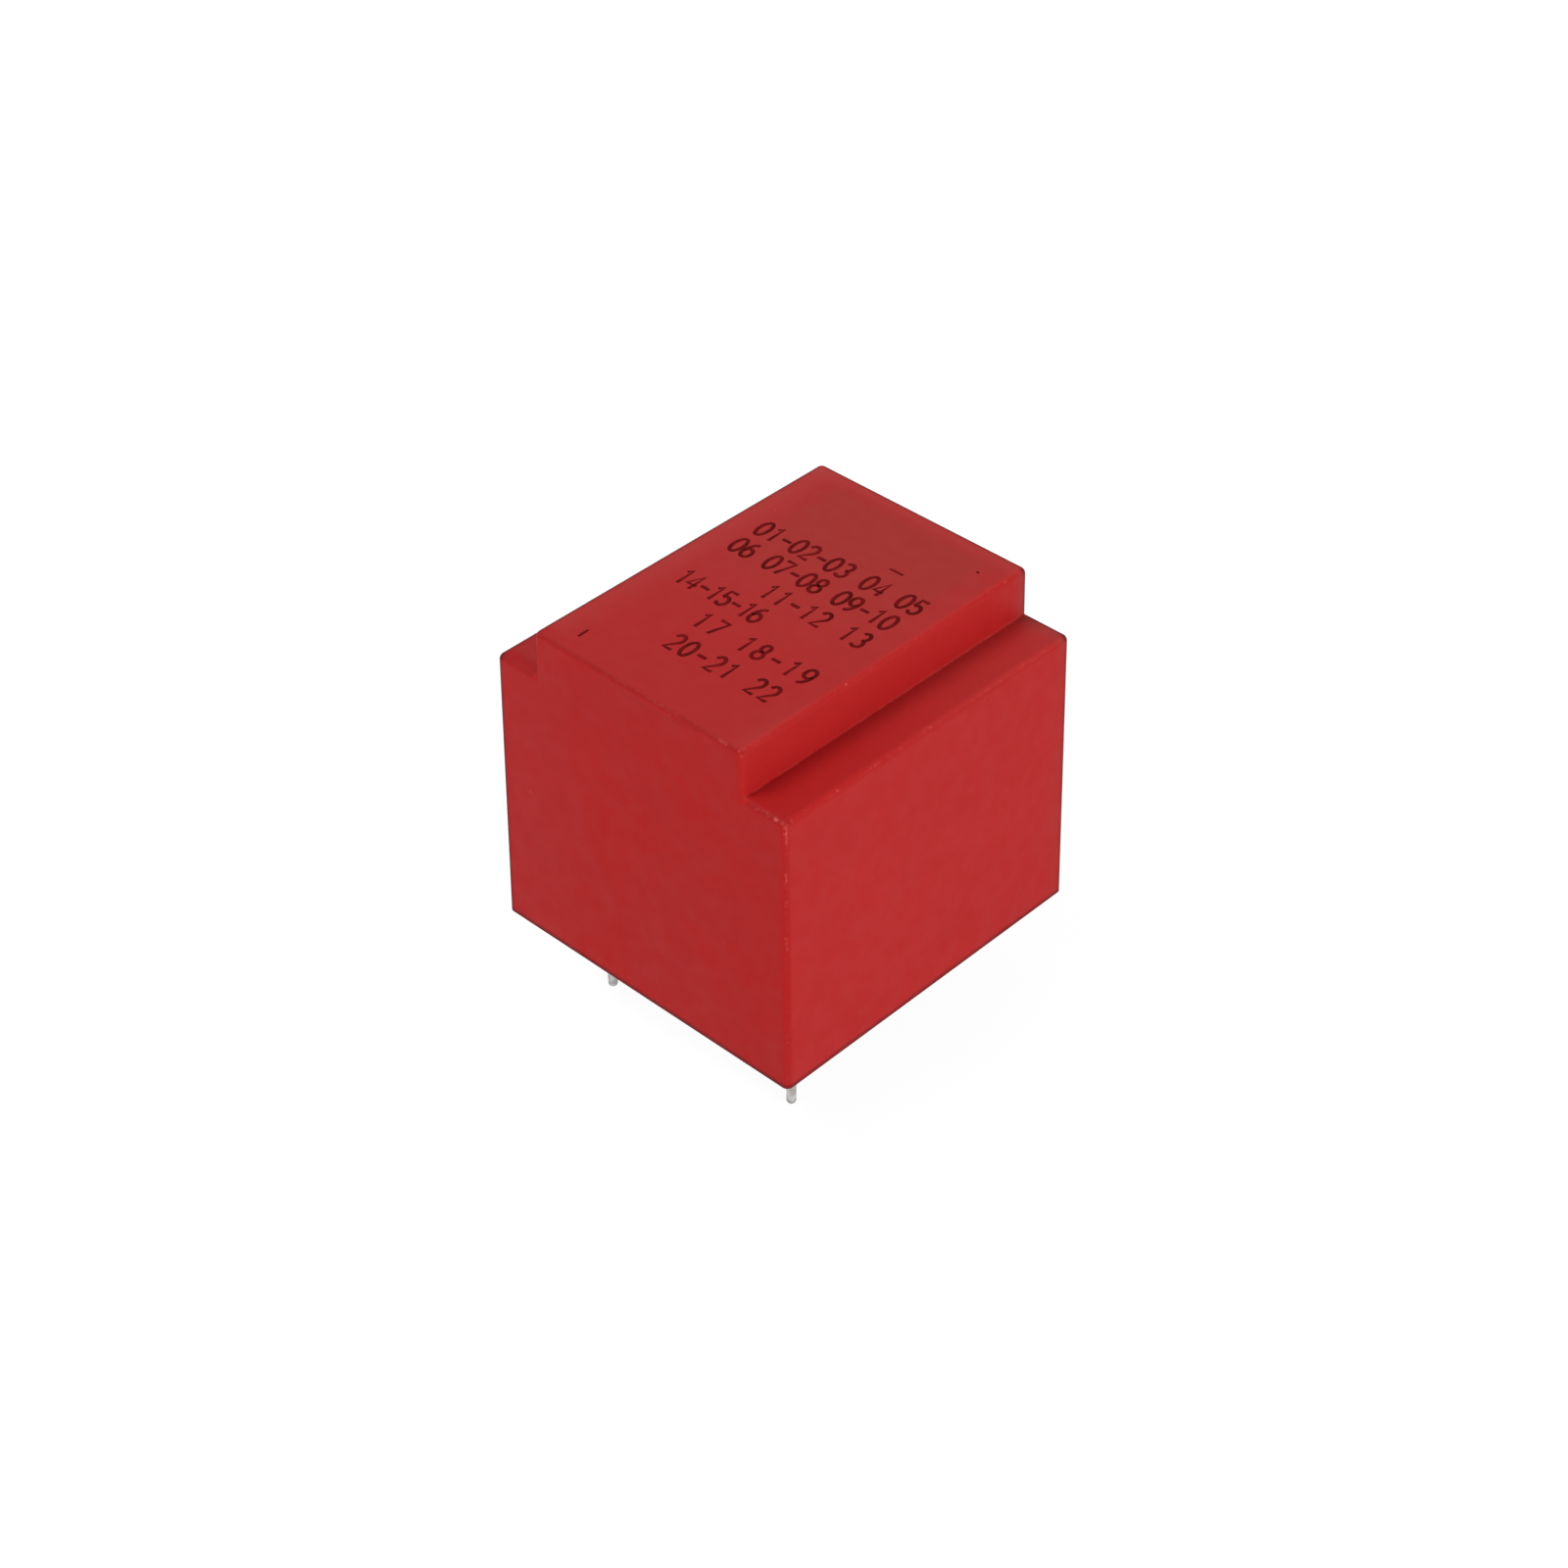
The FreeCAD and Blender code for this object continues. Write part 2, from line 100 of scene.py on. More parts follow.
class Slot(Enum):
    """The record's material slots."""

    CASE = "case_plastic"
    RESIN = "resin"
    FORMER = "former_plastic"
    WIRE = "copper_wire"
    TAPE = "tape"
    PIN = "tinned_pin"
    STEEL = "core_steel"


def srgb(red: float, green: float, blue: float) -> tuple[float, float, float, float]:
    """A colour that is given by its screen values, from 0 to 255, as a shader's linear colour.

    Args:
        red: The red screen value.
        green: The green screen value.
        blue: The blue screen value.

    Returns:
        The linear colour, with an alpha of 1.
    """
    parts = []
    for value in (red, green, blue):
        share = value / 255
        parts.append(share / 12.92 if share <= 0.04045 else ((share + 0.055) / 1.055) ** 2.4)
    return (*parts, 1.0)


class Graph:
    """A node tree, with short calls that add nodes and join them."""

    def __init__(self, tree: bpy.types.NodeTree) -> None:
        """Wrap a node tree."""
        self.tree = tree

    def add(self, kind: str, inputs: dict | None = None, **settings: object) -> bpy.types.Node:
        """Add a node.

        Args:
            kind: The node's type name.
            inputs: What to join to its inputs, or their plain values, by socket name or number.
            **settings: The node's own properties.

        Returns:
            The new node.
        """
        node = self.tree.nodes.new(kind)
        for name, value in settings.items():
            setattr(node, name, value)
        for name, value in (inputs or {}).items():
            self.feed(node.inputs[name], value)
        return node

    def feed(self, socket: Socket, value: object) -> None:
        """Join a socket to another one, or give it a plain value."""
        if isinstance(value, Socket):
            self.tree.links.new(value, socket)
        else:
            socket.default_value = value

    def math(self, operation: str, *values: object, clamp: bool = False) -> Socket:
        """Work out a number.

        Args:
            operation: The Math node's operation.
            *values: Its inputs, as sockets or numbers.
            clamp: Whether the result stays between 0 and 1.

        Returns:
            The result's socket.
        """
        inputs = dict(enumerate(values))
        return self.add("ShaderNodeMath", inputs, operation=operation, use_clamp=clamp).outputs[0]

    def product(self, value: object, *others: object) -> Socket:
        """Multiply sockets and numbers."""
        for other in others:
            value = self.math("MULTIPLY", value, other)
        return value

    def most(self, value: object, *others: object) -> Socket:
        """Find the largest of some sockets and numbers."""
        for other in others:
            value = self.math("MAXIMUM", value, other)
        return value

    def ramp(self, value: object, low: object, high: object, start: float = 0.0,
             end: float = 1.0) -> Socket:
        """Turn a number smoothly from start to end as it goes from low to high.

        Args:
            value: The number.
            low: Where the change starts.
            high: Where the change ends.
            start: The result below low.
            end: The result above high.

        Returns:
            The result's socket.
        """
        inputs = {"Value": value, "From Min": low, "From Max": high, "To Min": start, "To Max": end}
        node = self.add("ShaderNodeMapRange", inputs, interpolation_type="SMOOTHSTEP")
        return node.outputs["Result"]

    def mix(self, factor: object, first: object, second: object) -> Socket:
        """Mix two colours.

        Args:
            factor: The share of the second colour.
            first: The first colour.
            second: The second colour.

        Returns:
            The mixed colour's socket.
        """
        node = self.add("ShaderNodeMix", data_type="RGBA")
        colours = [socket for socket in node.inputs if socket.type == "RGBA"]
        self.feed(node.inputs["Factor"], factor)
        self.feed(colours[0], first)
        self.feed(colours[1], second)
        return next(socket for socket in node.outputs if socket.type == "RGBA")

    def noise(self, size: object, detail: float = 2.0, roughness: float = 0.5) -> Socket:
        """Noise over the object's own coordinates.

        Args:
            size: The size of its features, in metres.
            detail: How many finer layers it has.
            roughness: How strong the finer layers are.

        Returns:
            The noise's value, about 0.5 on average.
        """
        point = self.add("ShaderNodeTexCoord").outputs["Object"]
        inputs = {"Vector": point, "Scale": self.math("DIVIDE", 1.0, size), "Detail": detail,
                  "Roughness": roughness}
        return self.add("ShaderNodeTexNoise", inputs).outputs["Fac"]

    def place(self) -> list[Socket]:
        """The point's x, y and z in the object's own coordinates."""
        point = self.add("ShaderNodeTexCoord").outputs["Object"]
        return list(self.add("ShaderNodeSeparateXYZ", {0: point}).outputs)

    def use(self, group: bpy.types.NodeTree, **values: object) -> Socket:
        """Place a node group with its own values.

        Args:
            group: The node group.
            **values: Its inputs; an underscore stands for a space.

        Returns:
            The group's output.
        """
        node = self.add("ShaderNodeGroup", node_tree=group)
        for name, value in values.items():
            self.feed(node.inputs[name.replace("_", " ")], value)
        return node.outputs[0]


def open_group(name: str, inputs: dict[str, float], output: str) -> tuple[
        Graph, dict[str, Socket], Socket]:
    """Start a shader node group with one output.

    Args:
        name: The group's name.
        inputs: Its inputs, each with its usual value.
        output: The name of its output.

    Returns:
        The group's graph, its inputs by name, and the socket that its output is taken from.
    """
    tree = bpy.data.node_groups.new(name, "ShaderNodeTree")
    for label, value in inputs.items():
        socket = tree.interface.new_socket(
            name=label, in_out="INPUT", socket_type="NodeSocketFloat")
        socket.default_value = value
    tree.interface.new_socket(name=output, in_out="OUTPUT", socket_type="NodeSocketFloat")
    graph = Graph(tree)
    entry = graph.add("NodeGroupInput")
    given = {label: entry.outputs[label] for label in inputs}
    return graph, given, graph.add("NodeGroupOutput").inputs[output]


class Effects:
    """The surface effects that several finishes share, each a node group that is built once."""

    # How large the grain's finer layer is beside the coarse one
    FINER = 0.35
    # How strong the finer layers of the clouds are
    CLOUD_ROUGHNESS = 0.55
    # How much of a speck's radius is full
    FULL_DOT = 0.4

    def __init__(self) -> None:
        """Build the groups."""
        self.grain = self._grain()
        self.clouds = self._clouds()
        self.specks = self._specks()
        self.block_edges = self._block_edges()

    @staticmethod
    def _grain() -> bpy.types.NodeTree:
        """A fine moulded texture: a height, most of it from 0.4 to 1.2."""
        usual = {"Size": 0.3 * MM, "Fineness": 0.6}
        graph, given, height = open_group("fine_grain", usual, "Height")
        coarse = graph.noise(given["Size"], detail=1.0)
        fine = graph.noise(graph.product(given["Size"], Effects.FINER), detail=1.0)
        graph.feed(height, graph.math("ADD", coarse, graph.product(fine, given["Fineness"])))
        return graph.tree

    @staticmethod
    def _clouds() -> bpy.types.NodeTree:
        """Broad soft patches: a mask from 0 to 1."""
        graph, given, mask = open_group("soft_clouds", {"Size": 5 * MM, "Contrast": 0.2}, "Mask")
        value = graph.noise(given["Size"], detail=3.0, roughness=Effects.CLOUD_ROUGHNESS)
        low = graph.math("SUBTRACT", 0.5, given["Contrast"])
        high = graph.math("ADD", 0.5, given["Contrast"])
        graph.feed(mask, graph.ramp(value, low, high))
        return graph.tree

    @staticmethod
    def _specks() -> bpy.types.NodeTree:
        """Sparse small dots, such as dust or pits: a mask from 0 to 1."""
        usual = {"Spacing": 0.8 * MM, "Radius": 0.06 * MM, "Share": 0.2}
        graph, given, mask = open_group("sparse_specks", usual, "Mask")
        point = graph.add("ShaderNodeTexCoord").outputs["Object"]
        scale = graph.math("DIVIDE", 1.0, given["Spacing"])
        cells = graph.add("ShaderNodeTexVoronoi", {"Vector": point, "Scale": scale})
        reach = graph.product(cells.outputs["Distance"], given["Spacing"])
        full = graph.product(given["Radius"], Effects.FULL_DOT)
        dot = graph.ramp(reach, full, given["Radius"], 1.0, 0.0)
        chance = graph.add("ShaderNodeSeparateColor", {0: cells.outputs["Color"]}).outputs[0]
        chosen = graph.math("LESS_THAN", chance, given["Share"])
        graph.feed(mask, graph.product(dot, chosen))
        return graph.tree

    @staticmethod
    def _block_edges() -> bpy.types.NodeTree:
        """Nearness to the upper edges of a block that leans in by a slope: a mask from 0 to 1.

        The block is centred on the origin. Its half sizes are those at height 0. Another block
        covers its top from the middle to the half width that is given as covered.
        """
        usual = {"Half Width": 11 * MM, "Half Depth": 11 * MM, "Foot": 0.0, "Top": 20 * MM,
                 "Covered": 0.0, "Slope": 0.014, "Reach": 0.3 * MM}
        graph, given, mask = open_group("block_edges", usual, "Mask")
        across, along, height = graph.place()
        lean = graph.product(height, given["Slope"])
        near = []
        for place, half in ((across, "Half Width"), (along, "Half Depth")):
            wall = graph.math("SUBTRACT", given[half], lean)
            gap = graph.math("SUBTRACT", wall, graph.math("ABSOLUTE", place))
            near.append(graph.ramp(graph.math("ABSOLUTE", gap), 0.0, given["Reach"], 1.0, 0.0))
        gap = graph.math("ABSOLUTE", graph.math("SUBTRACT", given["Top"], height))
        near.append(graph.ramp(gap, 0.0, given["Reach"], 1.0, 0.0))
        bare = graph.math("GREATER_THAN", graph.math("ABSOLUTE", across), given["Covered"])
        rim = graph.product(near[1], near[2], bare)
        walls = [graph.product(near[0], near[other]) for other in (1, 2)]
        above = graph.math("GREATER_THAN", height, given["Foot"])
        graph.feed(mask, graph.product(graph.most(rim, *walls), above))
        return graph.tree


class Way(Enum):
    """The directions on a piece, by their place in a point's coordinates."""

    ACROSS = 0
    ALONG = 1
    UP = 2


@dataclass(frozen=True)
class Fade:
    """A smooth change of a value between two places on a piece.

    The places are counted from the frame's origin, or from an edge that is given with them.
    """

    way: Way
    low: float
    high: float
    start: float = 0.0
    end: float = 1.0

    def value(self, graph: Graph, edge: float = 0.0) -> Socket:
        """The value at a point, with the places counted from an edge."""
        place = graph.place()[self.way.value]
        return graph.ramp(place, edge + self.low, edge + self.high, self.start, self.end)


@dataclass(frozen=True)
class Mottle:
    """Noise as a mask: the size of its features, and between which noise values it changes."""

    size: float
    low: float
    high: float
    start: float = 0.0
    end: float = 1.0
    detail: float = 3.0
    roughness: float = 0.5

    def value(self, graph: Graph) -> Socket:
        """The value at a point."""
        noise = graph.noise(self.size, self.detail, self.roughness)
        return graph.ramp(noise, self.low, self.high, self.start, self.end)


@dataclass(frozen=True)
class CaseForm:
    """The case's measures that its finish follows; the half sizes are those at the rim."""

    half_width: float = 11.477 * MM
    half_upper: float = 8.304 * MM
    half_depth: float = 11.947 * MM
    ledge: float = 18.91 * MM
    top: float = 22.03 * MM
    slope: float = math.tan(math.radians(0.8))

    def edges(self, graph: Graph, effects: Effects, reach: float) -> tuple[Socket, Socket]:
        """Nearness to the upper edges of the lower block and of the upper one.

        Args:
            graph: The material's graph.
            effects: The shared node groups.
            reach: How far from an edge the masks end.

        Returns:
            A mask from 0 to 1 for each block.
        """
        shared = {"Half_Depth": self.half_depth, "Reach": reach, "Slope": self.slope}
        lower = graph.use(effects.block_edges, Half_Width=self.half_width, Top=self.ledge,
                          Foot=-MM, Covered=self.half_upper, **shared)
        upper = graph.use(effects.block_edges, Half_Width=self.half_upper, Top=self.top,
                          Foot=self.ledge, **shared)
        return lower, upper

    def from_corner(self, graph: Graph) -> Socket:
        """How far a point lies from the near corner, along the two walls that meet there."""
        across, along, _ = graph.place()
        return graph.math("ADD", graph.math("SUBTRACT", self.half_width, across),
                          graph.math("ADD", self.half_depth, along))


@dataclass(frozen=True)
class Skin:
    """The case's material while it is built."""

    graph: Graph
    effects: Effects
    form: CaseForm


@dataclass(frozen=True)
class Layer:
    """What lies on the case's plain colour: a colour of its own, and a mask of its places."""

    colour: tuple

    def mask(self, skin: Skin) -> Socket:
        """Work out where the layer lies.

        Args:
            skin: The case's material.

        Returns:
            A mask from 0 to 1.
        """
        raise NotImplementedError


ON_TOP = Fade(Way.UP, -0.12 * MM, -0.03 * MM)


@dataclass(frozen=True)
class TopDustAndSheen(Layer):
    """A pale tone on what faces up and on the left of the case: dust and painted sheen."""

    colour: tuple = srgb(176, 70, 66)
    # On the top: the middle, the far end and a paler place on the right
    middle: Fade = Fade(Way.ALONG, -7 * MM, 2 * MM, 0.13, 0.22)
    far: Fade = Fade(Way.ALONG, 10 * MM, 11 * MM, 0.0, 0.16)
    right: Fade = Fade(Way.ACROSS, 6.2 * MM, 7.8 * MM, 0.0, 0.14)
    right_near: Fade = Fade(Way.ALONG, -9.5 * MM, -3 * MM, 1.0, 0.0)
    # From the left ledge up, away from the near end
    above_ledge: Fade = Fade(Way.UP, -0.3 * MM, -0.1 * MM)
    left: Fade = Fade(Way.ACROSS, -7.6 * MM, -5.5 * MM, 0.22, 0.0)
    off_near_end: Fade = Fade(Way.ALONG, 0.9 * MM, 1.5 * MM)
    # On the right ledge alone
    below_wall: Fade = Fade(Way.UP, 0.05 * MM, 0.25 * MM, 1.0, 0.0)
    ledge_right: Fade = Fade(Way.ACROSS, 7.7 * MM, 8.1 * MM)
    ledge_far: Fade = Fade(Way.ALONG, -8 * MM, 8 * MM, 0.0, 0.2)

    def mask(self, skin: Skin) -> Socket:
        """Work out where the dust and painted sheen lie.

        Args:
            skin: The case's material.

        Returns:
            A mask from 0 to 1.
        """
        graph, form = skin.graph, skin.form
        toned = graph.product(self.right.value(graph), self.right_near.value(graph))
        patches = graph.math("ADD", self.middle.value(graph), self.far.value(graph))
        patches = graph.math("ADD", patches, toned)
        above = self.above_ledge.value(graph, form.ledge)
        left = graph.product(self.left.value(graph),
                             self.off_near_end.value(graph, -form.half_depth), above)
        right = graph.product(self.ledge_right.value(graph), self.ledge_far.value(graph),
                              above, self.below_wall.value(graph, form.ledge))
        top = graph.product(patches, ON_TOP.value(graph, form.top))
        return graph.math("ADD", graph.most(left, right), top)


@dataclass(frozen=True)
class DullField(Layer):
    """A duller field on the top towards the far end, inside its edges."""

    colour: tuple = srgb(162, 45, 41)
    bounds: tuple = (
        Fade(Way.ACROSS, -6.8 * MM, -4.5 * MM),
        Fade(Way.ACROSS, 5.2 * MM, 7.4 * MM, 1.0, 0.0),
        Fade(Way.ALONG, -4 * MM, 7 * MM),
        Fade(Way.ALONG, 9.8 * MM, 11.2 * MM, 1.0, 0.0),
    )

    def mask(self, skin: Skin) -> Socket:
        """Work out where the field lies: one product of fades."""
        graph, form = skin.graph, skin.form
        fades = [bound.value(graph) for bound in self.bounds]
        return graph.product(ON_TOP.value(graph, form.top), *fades)


@dataclass(frozen=True)
class FarEndShade(Layer):
    """Painted shade, dark and grey, over the far end below the top."""

    colour: tuple = srgb(146, 58, 54)
    far: Fade = Fade(Way.ALONG, 10.2 * MM, 11.3 * MM)
    end_wall: Fade = Fade(Way.ALONG, 11.35 * MM, 11.6 * MM, 1.0, 0.25)
    up_to_ledge: Fade = Fade(Way.UP, -0.7 * MM, 0.0, 0.15, 0.5)
    below_top: Fade = Fade(Way.UP, -0.15 * MM, -0.05 * MM, 1.0, 0.0)

    def mask(self, skin: Skin) -> Socket:
        """Work out where the painted shade lies: one product of fades."""
        graph, form = skin.graph, skin.form
        height = graph.product(self.up_to_ledge.value(graph, form.ledge),
                               self.below_top.value(graph, form.top))
        return graph.product(self.far.value(graph), self.end_wall.value(graph), height)


@dataclass(frozen=True)
class NearEndShade(Layer):
    """Painted shade on the near end's edges, and a dark painted line sagging under its top edge."""

    colour: tuple = srgb(142, 23, 24)
    reach: float = 0.42 * MM
    strength: float = 1.1
    near_end: Fade = Fade(Way.ALONG, 0.5 * MM, 0.9 * MM, 1.0, 0.0)
    # Upright edges get less painted shade on the lower block and none on the upper one
    lower: Fade = Fade(Way.UP, -0.45 * MM, -0.2 * MM, 0.35, 1.0)
    upper: Fade = Fade(Way.UP, -0.5 * MM, -0.25 * MM)
    # The painted dark line: where it sags across the end, how far, how deep it starts and its half
    # width
    sag_left: Fade = Fade(Way.ACROSS, -2.4 * MM, -0.6 * MM)
    sag_right: Fade = Fade(Way.ACROSS, 1.2 * MM, 6.0 * MM, 1.0, 0.0)
    sag: float = 0.58 * MM
    line_depth: float = 0.16 * MM
    line_width: tuple = (0.02 * MM, 0.14 * MM)
    line_share: float = 0.36

    def mask(self, skin: Skin) -> Socket:
        """Work out where the painted shade lies.

        Args:
            skin: The case's material.

        Returns:
            A mask from 0 to 1.
        """
        graph, form = skin.graph, skin.form
        lower, upper = form.edges(graph, skin.effects, self.reach)
        edges = graph.most(graph.product(lower, self.lower.value(graph, form.ledge)),
                           graph.product(upper, self.upper.value(graph, form.top)))
        sag = graph.product(self.sag_left.value(graph), self.sag_right.value(graph), self.sag)
        level = graph.math("SUBTRACT", form.top - self.line_depth, sag)
        gap = graph.math("ABSOLUTE", graph.math("SUBTRACT", graph.place()[Way.UP.value], level))
        line = graph.ramp(gap, *self.line_width, self.line_share, 0.0)
        toned = graph.most(graph.math("MULTIPLY", edges, self.strength, clamp=True), line)
        return graph.product(toned, self.near_end.value(graph, -form.half_depth))


@dataclass(frozen=True)
class Dust(Layer):
    """Pale dust: sparse specks, and more where the steps' walls meet the ledges."""

    colour: tuple = srgb(206, 104, 92)
    spacing: float = 1.3 * MM
    radius: float = 0.08 * MM
    chance: float = 0.12
    speck_share: float = 0.5
    foot_reach: tuple = (0.03 * MM, 0.13 * MM)
    foot_share: float = 0.12
    breaks: Mottle = Mottle(0.9 * MM, 0.35, 0.65)

    def mask(self, skin: Skin) -> Socket:
        """Work out where the dust lies.

        Args:
            skin: The case's material.

        Returns:
            A mask from 0 to 1.
        """
        graph, form = skin.graph, skin.form
        specks = graph.use(skin.effects.specks, Spacing=self.spacing, Radius=self.radius,
                           Share=self.chance)
        across, _, height = graph.place()
        wall = graph.math("SUBTRACT", graph.math("ABSOLUTE", across),
                          form.half_upper - form.ledge * form.slope)
        rise = graph.math("SUBTRACT", height, form.ledge)
        gap = graph.most(graph.math("ABSOLUTE", wall), graph.math("ABSOLUTE", rise))
        foot = graph.product(graph.ramp(gap, *self.foot_reach, 1.0, 0.0), self.breaks.value(graph))
        return graph.most(graph.product(specks, self.speck_share),
                          graph.product(foot, self.foot_share))


@dataclass(frozen=True)
class EdgeWearAndHighlight(Layer):
    """Pale wear: broken specks along the edges; and a painted highlight, a light line at the near
    corner.
    """

    colour: tuple = srgb(208, 92, 86)
    reach: float = 0.26 * MM
    share: float = 0.75
    # Wear is strongest up to the first distance from the near corner, and plain past the second
    corner: tuple = (3 * MM, 9 * MM)
    corner_wear: float = 3.2
    # It grows weaker down the walls, to a share at this height
    foot: float = 6 * MM
    foot_wear: float = 0.25
    # The step's wall is hardly worn between its foot and its upper edge
    step_foot: Fade = Fade(Way.UP, 0.1 * MM, 0.5 * MM)
    step_edge: Fade = Fade(Way.UP, -0.55 * MM, -0.3 * MM, 1.0, 0.0)
    step_wear: float = 0.1
    patches: Mottle = Mottle(0.3 * MM, 0.5, 0.68, detail=4.0, roughness=0.7)
    spells: Mottle = Mottle(2.2 * MM, 0.42, 0.6, 0.15, 1.0, detail=2.0)
    # The painted highlight: its place beside the corner's middle, its half width and how far out it
    # reaches
    line_share: float = 0.6
    line_shift: float = 0.08 * MM
    line_width: tuple = (0.02 * MM, 0.12 * MM)
    line_reach: tuple = (0.3 * MM, 0.45 * MM)
    line_foot: Fade = Fade(Way.UP, 17.1 * MM, 18 * MM)
    line_breaks: Mottle = Mottle(0.6 * MM, 0.36, 0.56, 0.25, 1.0)

    def specks(self, skin: Skin) -> Socket:
        """Work out where the broken specks lie.

        Args:
            skin: The case's material.

        Returns:
            A mask from 0 to 1.
        """
        graph, form = skin.graph, skin.form
        edges = graph.most(*form.edges(graph, skin.effects, self.reach))
        nearness = graph.ramp(form.from_corner(graph), *self.corner, self.corner_wear, 1.0)
        height = graph.place()[Way.UP.value]
        highness = graph.ramp(height, self.foot, form.ledge, self.foot_wear, 1.0)
        step = graph.product(self.step_foot.value(graph, form.ledge),
                             self.step_edge.value(graph, form.top))
        off_step = graph.ramp(step, 0.0, 1.0, 1.0, self.step_wear)
        amount = graph.product(nearness, highness, off_step, self.patches.value(graph),
                               self.spells.value(graph))
        return graph.math("MULTIPLY", edges, amount, clamp=True)

    def corner_highlight(self, skin: Skin) -> Socket:
        """Work out where the painted highlight lies: a thin line at the upper end of the near
        corner's round.

        Args:
            skin: The case's material.

        Returns:
            A mask from 0 to 1.
        """
        graph, form = skin.graph, skin.form
        across, along, height = graph.place()
        lean = graph.product(height, form.slope)
        side = graph.math("SUBTRACT", graph.math("SUBTRACT", form.half_width, lean), across)
        end = graph.math("ADD", graph.math("SUBTRACT", form.half_depth, lean), along)
        off = graph.math("SUBTRACT", graph.math("SUBTRACT", end, side), self.line_shift)
        middle = graph.ramp(graph.math("ABSOLUTE", off), *self.line_width, 1.0, 0.0)
        near = graph.ramp(graph.math("ADD", side, end), *self.line_reach, 1.0, 0.0)
        return graph.product(middle, near, self.line_foot.value(graph),
                             self.line_breaks.value(graph))

    def mask(self, skin: Skin) -> Socket:
        """Work out where the case is worn and where the highlight is painted: the specks and the
        line.
        """
        graph = skin.graph
        return graph.most(graph.product(self.specks(skin), self.share),
                          graph.product(self.corner_highlight(skin), self.line_share))


@dataclass(frozen=True)
class OuterEdgeShade(Layer):
    """Painted dark shade: at the rim, and along the outer edges on the left and at the far end."""

    colour: tuple = srgb(84, 12, 18)
    reach: float = 0.62 * MM
    strength: float = 1.7
    share: float = 0.7
    left: Fade = Fade(Way.ACROSS, 0.5 * MM, 0.9 * MM, 1.0, 0.0)
    far_end: Fade = Fade(Way.ALONG, -0.9 * MM, -0.5 * MM)
    # The upper block's left edge has no painted shade at the near end
    off_near_end: Fade = Fade(Way.ALONG, 0.35 * MM, 0.8 * MM)
    # What is taken off where two shaded edges meet
    corner_loss: float = 0.6
    # The rim's painted dark line of shade, with a wavering upper end
    rim: tuple = (0.22 * MM, 0.5 * MM)
    rim_share: float = 0.7
    waver_size: float = 0.8 * MM
    waver: float = 0.16 * MM

    def far_edges(self, skin: Skin) -> Socket:
        """Work out where the painted shade along the left and far edges lies.

        Args:
            skin: The case's material.

        Returns:
            A mask from 0 to 1.
        """
        graph, form = skin.graph, skin.form
        lower, upper = form.edges(graph, skin.effects, self.reach)
        end = self.far_end.value(graph, form.half_depth)
        unshaded = self.off_near_end.value(graph, -form.half_depth)
        masks = []
        for edge, half, kept in ((lower, form.half_width, 1.0), (upper, form.half_upper, unshaded)):
            left = graph.product(self.left.value(graph, -half), kept)
            both = graph.product(left, end, self.corner_loss)
            sides = graph.math("SUBTRACT", graph.most(left, end), both)
            masks.append(graph.product(edge, sides))
        return graph.math("MULTIPLY", graph.most(*masks), self.strength, clamp=True)

    def mask(self, skin: Skin) -> Socket:
        """Work out where the painted shade lies.

        Args:
            skin: The case's material.

        Returns:
            A mask from 0 to 1.
        """
        graph = skin.graph
        waver = graph.product(graph.noise(self.waver_size), self.waver)
        height = graph.math("ADD", graph.place()[Way.UP.value], waver)
        rim = graph.ramp(height, *self.rim, self.rim_share, 0.0)
        return graph.most(rim, graph.product(self.far_edges(skin), self.share))


class Driver(Enum):
    """What a finish's roughness follows."""

    PATCHES = "patches"
    RELIEF = "relief"


@dataclass(frozen=True)
class Finish:
    """A material with one Principled shader: two colours in soft patches, and a fine relief."""

    name: str
    colour: tuple
    patch: tuple
    patch_size: float
    patch_contrast: float
    # The least and the most roughness, and the real depth of the relief
    rough: tuple
    relief: float
    rough_by: Driver = Driver.PATCHES
    rough_span: tuple = (0.0, 1.0)
    grain_size: float = 0.3 * MM
    metal: float = 0.0
    gloss: float = 0.5

    def material(self, effects: Effects) -> bpy.types.Material:
        """Build the material.

        Args:
            effects: The shared node groups.

        Returns:
            The material.
        """
        material = bpy.data.materials.new(self.name)
        material.use_nodes = True
        material.node_tree.nodes.clear()
        graph = Graph(material.node_tree)
        shader = graph.add("ShaderNodeBsdfPrincipled")
        graph.add("ShaderNodeOutputMaterial", {"Surface": shader.outputs[0]})
        shader.inputs["Metallic"].default_value = self.metal
        shader.inputs["Specular IOR Level"].default_value = self.gloss
        graph.feed(shader.inputs["Base Color"], self.base_colour(graph, effects))
        rough = graph.ramp(self.unevenness(graph, effects), *self.rough_span, *self.rough)
        graph.feed(shader.inputs["Roughness"], rough)
        height = {"Height": self.height(graph, effects), "Distance": self.relief, "Strength": 1.0}
        bump = graph.add("ShaderNodeBump", height)
        graph.feed(shader.inputs["Normal"], bump.outputs["Normal"])
        return material

    def patches(self, graph: Graph, effects: Effects) -> Socket:
        """The mask of the soft patches."""
        return graph.use(effects.clouds, Size=self.patch_size, Contrast=self.patch_contrast)

    def base_colour(self, graph: Graph, effects: Effects) -> Socket:
        """The colour: the second one lies in the patches."""
        return graph.mix(self.patches(graph, effects), self.colour, self.patch)

    def height(self, graph: Graph, effects: Effects) -> Socket:
        """The relief, about 1 high: a fine grain."""
        return graph.use(effects.grain, Size=self.grain_size)

    def unevenness(self, graph: Graph, effects: Effects) -> Socket:
        """What the roughness follows: the patches or the relief."""
        source = self.height if self.rough_by is Driver.RELIEF else self.patches
        return source(graph, effects)


